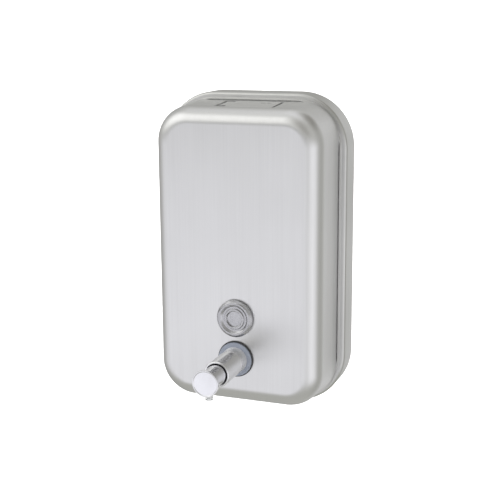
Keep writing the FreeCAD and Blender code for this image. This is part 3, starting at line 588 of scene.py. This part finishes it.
make_piece(
    "wall_bracket_folded",
    sweep("wall_bracket_folded", upper_outline, bracket_low.x, bracket_high.x, folded),
    "wall_bracket",
    welds=[sweep("tail", tail_outline, -tail_half, tail_half, folded)],
    cuts=screw_ways + [tapped_way],
    sharp=40,
    edge=0.15 * MM,
)
hook_back = hanger_high.y
hanger_outline = round_corners(
    [
        (hanger_low.y, hanger_low.z),
        (hanger_low.y, hanger_high.z),
        (hook_back, hanger_high.z),
        (hook_back, hanger_high.z - 11.5 * MM),
        (hook_back - PLATE, hanger_high.z - 11.5 * MM),
        (hook_back - PLATE, hanger_high.z - PLATE),
        (hanger_low.y + PLATE, hanger_high.z - PLATE),
        (hanger_low.y + PLATE, hanger_low.z),
    ],
    [0.3 * MM, BEND, BEND, 0.3 * MM, 0.3 * MM, BEND_IN, BEND_IN, 0.3 * MM],
    closed=True,
)
make_piece(
    "tank_hanger_folded",
    sweep("tank_hanger_folded", hanger_outline, hanger_low.x, hanger_high.x, folded),
    "tank_hanger",
    sharp=40,
    edge=0.15 * MM,
)

# ---------------------------------------------------------------- filler lid
hinge = next(row for row in RECORD["behaviour"]["joints"] if row["name"] == "lid_hinge")
KNUCKLE = 1.6 * MM
LID_BACK = -Vector(hinge["axis"]).normalized()
LID_UP = Vector((1, 0, 0)).cross(LID_BACK)
LID_ORIGIN = Vector(hinge["pos_m"]) + LID_UP * KNUCKLE


def on_lid(x, y, z):
    """A point in the lid's frame: x away from the hinge, y towards the wall, z out of the lid."""
    return LID_ORIGIN + Vector((x, 0, 0)) + LID_BACK * y + LID_UP * z


def lid_section(x, z, y):
    return on_lid(x, y, z)


LID_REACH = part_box("filler_lid")[1].x - LID_ORIGIN.x
LID_HALF = 10.7 * MM
LID_START = 4.2 * MM
SKIRT = 3.3 * MM
STRAP_HALF = 7.7 * MM
lid_middle = (LID_START + LID_REACH) / 2
lid_half_reach = (LID_REACH - LID_START) / 2
lid_profile = round_corners(
    [(3 * MM, -SHEET), (SHEET, -SHEET), (SHEET, -SKIRT), (0.0, -SKIRT), (0.0, 0.0), (3 * MM, 0.0)],
    [0, 0.3 * MM, 0.15 * MM, 0.15 * MM, 0.6 * MM, 0],
)
lid_rings = []
for inset, z in lid_profile:
    corner = max(1.6 * MM - inset, 0.2 * MM)
    outline = rounded_outline(lid_half_reach - inset, LID_HALF - inset, corner, 8)
    lid_rings.append([on_lid(lid_middle + x, y, z) for x, y in outline])


def knuckle_arc(radius):
    """The strap's end, curled round the hinge pin."""
    angles = [math.radians(-9 * step) for step in range(33)]
    return [(radius * math.sin(angle), radius * math.cos(angle) - KNUCKLE) for angle in angles]


strap_end = LID_START + 1.5 * MM
strap_outline = [(strap_end, 0.0), *knuckle_arc(KNUCKLE), *reversed(knuckle_arc(0.9 * MM))]
strap_outline += [(1.5 * MM, -SHEET), (strap_end, -SHEET)]
key_ways = []
for side in (-1, 1):
    key_middle = LID_REACH - 8.9 * MM + side * 2.1 * MM
    slot = rounded_outline(1.4 * MM, 0.75 * MM, 0.5 * MM, 6)
    rings = [[on_lid(key_middle + x, 5.4 * MM + y, z) for x, y in slot] for z in (-2 * SHEET, 2 * SHEET)]
    key_ways.append(loft("key_way", rings))
bolt_way = block(
    (LID_REACH - 2 * MM, 2.75 * MM, -2.3 * MM), (LID_REACH + 2 * MM, 8.05 * MM, -0.8 * MM), on_lid
)
make_piece(
    "filler_lid_pressed",
    loft("filler_lid_pressed", lid_rings),
    "filler_lid",
    welds=[sweep("strap", strap_outline, -STRAP_HALF, STRAP_HALF, lid_section)],
    cuts=key_ways + [bolt_way],
    sharp=40,
)

# ---------------------------------------------------------------- sight window and valve
def turned_piece(name, node, axis, profile, radii, **options):
    """A turned piece, from its profile and its corners' radii in millimetres."""
    corners = [(radius * MM, out * MM) for radius, out in profile]
    outline = round_corners(corners, [radius * MM for radius in radii], closed=True)
    return make_piece(name, lathe(name, outline, axis), node, **options)


turned_piece(
    "sight_window_moulded",
    "sight_window",
    window,
    [
        (0, 1.8), (5.1, 1.8), (5.1, 3.1), (6.8, 3.1), (6.8, 2.3), (8.2, 2.3), (9.4, 3.4), (10.8, 3.4),
        (12.2, 2.0), (12.2, 0.8), (8.0, 0.8), (8.0, -7.5), (5.5, -7.5), (5.5, -0.2), (0, -0.2),
    ],
    [0, 0.35, 0.8, 0.8, 0.3, 0.5, 1.2, 1.2, 0.7, 0.3, 0.2, 0.3, 0.3, 0.4, 0],
    sharp=60,
)
turned_piece(
    "valve_washer_moulded",
    "valve_washer",
    valve,
    [(6.8, 1.0), (11.2, 1.0), (11.2, 2.2), (6.8, 2.2)],
    [0, 0.15, 0.35, 0],
)
turned_piece(
    "valve_barrel_turned",
    "valve_barrel",
    valve,
    [
        (3.05, -9.0), (6.8, -9.0), (6.8, 2.2), (8.4, 2.2),
        (8.4, 33.5), (7.15, 33.5), (7.15, 8.0), (3.05, 8.0),
    ],
    [0, 0.3, 0, 0.2, 0.6, 0.45, 0.3, 0],
    sharp=50,
)

nozzle = middle("outlet_nozzle")
nozzle_way = rod(2.5 * MM, (nozzle.x, nozzle.y, valve.z), (nozzle.x, nozzle.y, valve.z - 12 * MM))
turned_piece(
    "plunger_sleeve_turned",
    "plunger_sleeve",
    valve,
    [(5.9, 19.7), (6.6, 19.7), (6.6, 49.7), (5.9, 49.7)],
    [0.1, 0.3, 0, 0],
    cuts=[nozzle_way],
)
turned_piece(
    "push_button_turned",
    "push_button",
    valve,
    [
        (0, 51.2), (7.6, 51.25), (7.95, 51.7), (8.5, 51.7), (8.5, 49.7),
        (5.9, 49.7), (5.9, 41.9), (3.0, 41.9), (3.0, 48.2), (0, 48.2),
    ],
    [0, 0.4, 0.1, 0.4, 0.3, 0, 0.3, 0, 0, 0],
    cuts=[rod(2.5 * MM, (nozzle.x, nozzle.y, valve.z - 3 * MM), (nozzle.x, nozzle.y, valve.z - 12 * MM))],
    sharp=50,
)


def coil(name, axis, radius, wire, start, end, turns):
    """A compression spring about an axis along Y, its first and last turns wound closed."""
    closed = 1.05 * wire
    rings = []
    for step in range(int(40 * turns) + 1):
        turn = step / 40
        middle_share = (turn - 1) / (turns - 2)
        along = closed + (end - start - 2 * closed) * middle_share
        if turn < 1:
            along = closed * turn
        elif turn > turns - 1:
            along = end - start - closed * (turns - turn)
        angle = 2 * math.pi * turn
        outward = Vector((math.cos(angle), 0, math.sin(angle)))
        centre = Vector((axis.x, start + along, axis.z)) + outward * radius
        section = [outward * math.cos(a) + Vector((0, math.sin(a), 0)) for a in circle_angles(12)]
        rings.append([centre + arm * wire / 2 for arm in section])
    return loft(name, rings)


coil_low, coil_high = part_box("return_spring")
SPRING_WIRE = 0.9 * MM
spring = make_piece(
    "return_spring_wound",
    coil(
        "return_spring_wound",
        valve,
        (coil_high.x - coil_low.x - SPRING_WIRE) / 2,
        SPRING_WIRE,
        coil_low.y + SPRING_WIRE / 2,
        coil_high.y - SPRING_WIRE / 2,
        9.5,
    ),
    "return_spring",
    sharp=60,
)
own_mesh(spring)


# ---------------------------------------------------------------- stage, light and camera
def make_backdrop():
    """A wide pale floor below the object that rises softly far behind it, with its own soft light."""
    profile = round_corners([(-25.0, -0.9), (5.0, -0.9), (5.0, 4.0)], [0, 2.0, 0], steps=24)
    points = [(x, y, z) for x in (-25.0, 25.0) for y, z in profile]
    count = len(profile)
    faces = [(i, i + 1, count + i + 1, count + i) for i in range(count - 1)]
    mesh = bpy.data.meshes.new("studio_floor")
    mesh.from_pydata(points, [], faces)
    smooth(mesh, 60)
    floor = bpy.data.objects.new("studio_floor", mesh)
    bpy.context.scene.collection.objects.link(floor)
    shader = Shader("studio_floor").set(Roughness=0.9)
    shader.feed("Base Color", shader.mix(shader.noise(0.7), (0.86, 0.86, 0.86), (0.90, 0.90, 0.90)))
    mesh.materials.append(shader.material)
    # The steel mirrors the soft surroundings alone, as if the floor were out of its sight.
    floor.visible_glossy = False
    light = bpy.data.objects.new("backdrop_light", bpy.data.lights.new("backdrop_light", "AREA"))
    bpy.context.scene.collection.objects.link(light)
    light.data.shape = "RECTANGLE"
    light.data.size = 8.0
    light.data.size_y = 2.0
    light.data.energy = 420.0
    light.location = (-1.0, 1.2, 2.9)
    light.rotation_euler = Vector((0.0, 1.0, -0.3)).to_track_quat("-Z", "Y").to_euler()


class Studio:
    """Soft surroundings, described by how bright they are in each direction."""

    def __init__(self):
        self.world = bpy.data.worlds.new("studio")
        self.world.use_nodes = True
        bpy.context.scene.world = self.world
        self.nodes = self.world.node_tree.nodes
        self.links = self.world.node_tree.links
        split = self.nodes.new("ShaderNodeSeparateXYZ")
        self.links.new(self.nodes.new("ShaderNodeTexCoord").outputs["Generated"], split.inputs[0])
        away = self.math("MULTIPLY", split.outputs["Y"], -1.0)
        turn = self.math("ARCTAN2", split.outputs["X"], away)
        rise = self.math("ARCSINE", split.outputs["Z"])
        self.turn = self.math("DEGREES", turn)
        self.rise = self.math("DEGREES", rise)
        self.colour = None

    def math(self, operation, first, second=0.0):
        return calculate(self.world.node_tree, "ShaderNodeMath", operation, first, second)

    def rise_at(self, value, place, soft):
        """A smooth step from 0 to 1 where the value passes the place."""
        node = self.nodes.new("ShaderNodeMapRange")
        node.interpolation_type = "SMOOTHSTEP"
        node.inputs["From Min"].default_value = place - soft
        node.inputs["From Max"].default_value = place + soft
        self.links.new(value, node.inputs["Value"])
        return node.outputs["Result"]

    def window(self, value, low, high, soft):
        inside = self.rise_at(value, low, soft)
        past = self.rise_at(value, high, soft)
        return self.math("SUBTRACT", inside, past)

    def paint(self, colour, turn=None, rise=None, soft=(12.0, 12.0)):
        """Paint a soft-edged patch, in degrees: turn is from the front to the right, rise is up."""
        node = self.nodes.new("ShaderNodeMix")
        node.data_type = "RGBA"
        if self.colour is None:
            node.inputs["Factor"].default_value = 1.0
            node.inputs[6].default_value = (*colour, 1.0)
        else:
            weight = self.window(self.rise, rise[0], rise[1], soft[1])
            if turn:
                weight = self.math("MULTIPLY", weight, self.window(self.turn, turn[0], turn[1], soft[0]))
            self.links.new(weight, node.inputs["Factor"])
            self.links.new(self.colour, node.inputs[6])
        node.inputs[7].default_value = (*colour, 1.0)
        self.colour = node.outputs[2]

    def finish(self):
        self.links.new(self.colour, self.nodes["Background"].inputs["Color"])


def make_studio():
    studio = Studio()
    studio.paint((0.66, 0.66, 0.63))
    studio.paint((0.58, 0.58, 0.54), rise=(-95, -30), soft=(10, 14))
    studio.paint((0.50, 0.50, 0.47), turn=(82, 128), rise=(-60, 60), soft=(10, 20))
    studio.paint((0.90, 0.90, 0.90), turn=(148, 181), rise=(-50, 30), soft=(14, 20))
    studio.paint((0.50, 0.50, 0.48), turn=(-181, -84), rise=(-60, 50), soft=(18, 20))
    studio.paint((1.02, 1.02, 1.02), rise=(66, 95), soft=(10, 16))
    studio.paint((1.12, 1.12, 1.16), turn=(-75, 14), rise=(-32, -2), soft=(22, 7))
    studio.paint((1.62, 1.62, 1.58), turn=(-85, -12), rise=(13, 52), soft=(14, 10))
    studio.paint((0.36, 0.35, 0.32), turn=(-6, 38), rise=(14, 52), soft=(10, 12))
    studio.paint((0.30, 0.29, 0.26), turn=(80, 165), rise=(34, 74), soft=(18, 12))
    studio.paint((0.44, 0.44, 0.44), turn=(-70, 24), rise=(-1, 6), soft=(14, 3))
    studio.paint((1.30, 1.30, 1.33), turn=(24, 74), rise=(-36, 4), soft=(16, 12))
    studio.finish()


def make_camera():
    """The camera stands to the right of the object and above it."""
    camera = bpy.data.objects.new("camera", bpy.data.cameras.new("camera"))
    bpy.context.scene.collection.objects.link(camera)
    bpy.context.scene.camera = camera
    camera.data.lens = 77.04
    camera.data.sensor_width = 36.0
    place = Vector((0.24226, -0.66943, 0.15474))
    target = Vector((0.00828, -0.04900, 0.00605))
    roll = -0.0065
    ahead = (target - place).normalized()
    right = ahead.cross(Vector((0, 0, 1))).normalized()
    up = right.cross(ahead)
    turned_right = right * math.cos(roll) + up * math.sin(roll)
    turned_up = up * math.cos(roll) - right * math.sin(roll)
    turn = Matrix((turned_right, turned_up, -ahead)).transposed().to_4x4()
    camera.matrix_world = Matrix.Translation(place) @ turn


make_backdrop()
make_studio()
make_camera()
bpy.context.scene.view_settings.view_transform = "Standard"
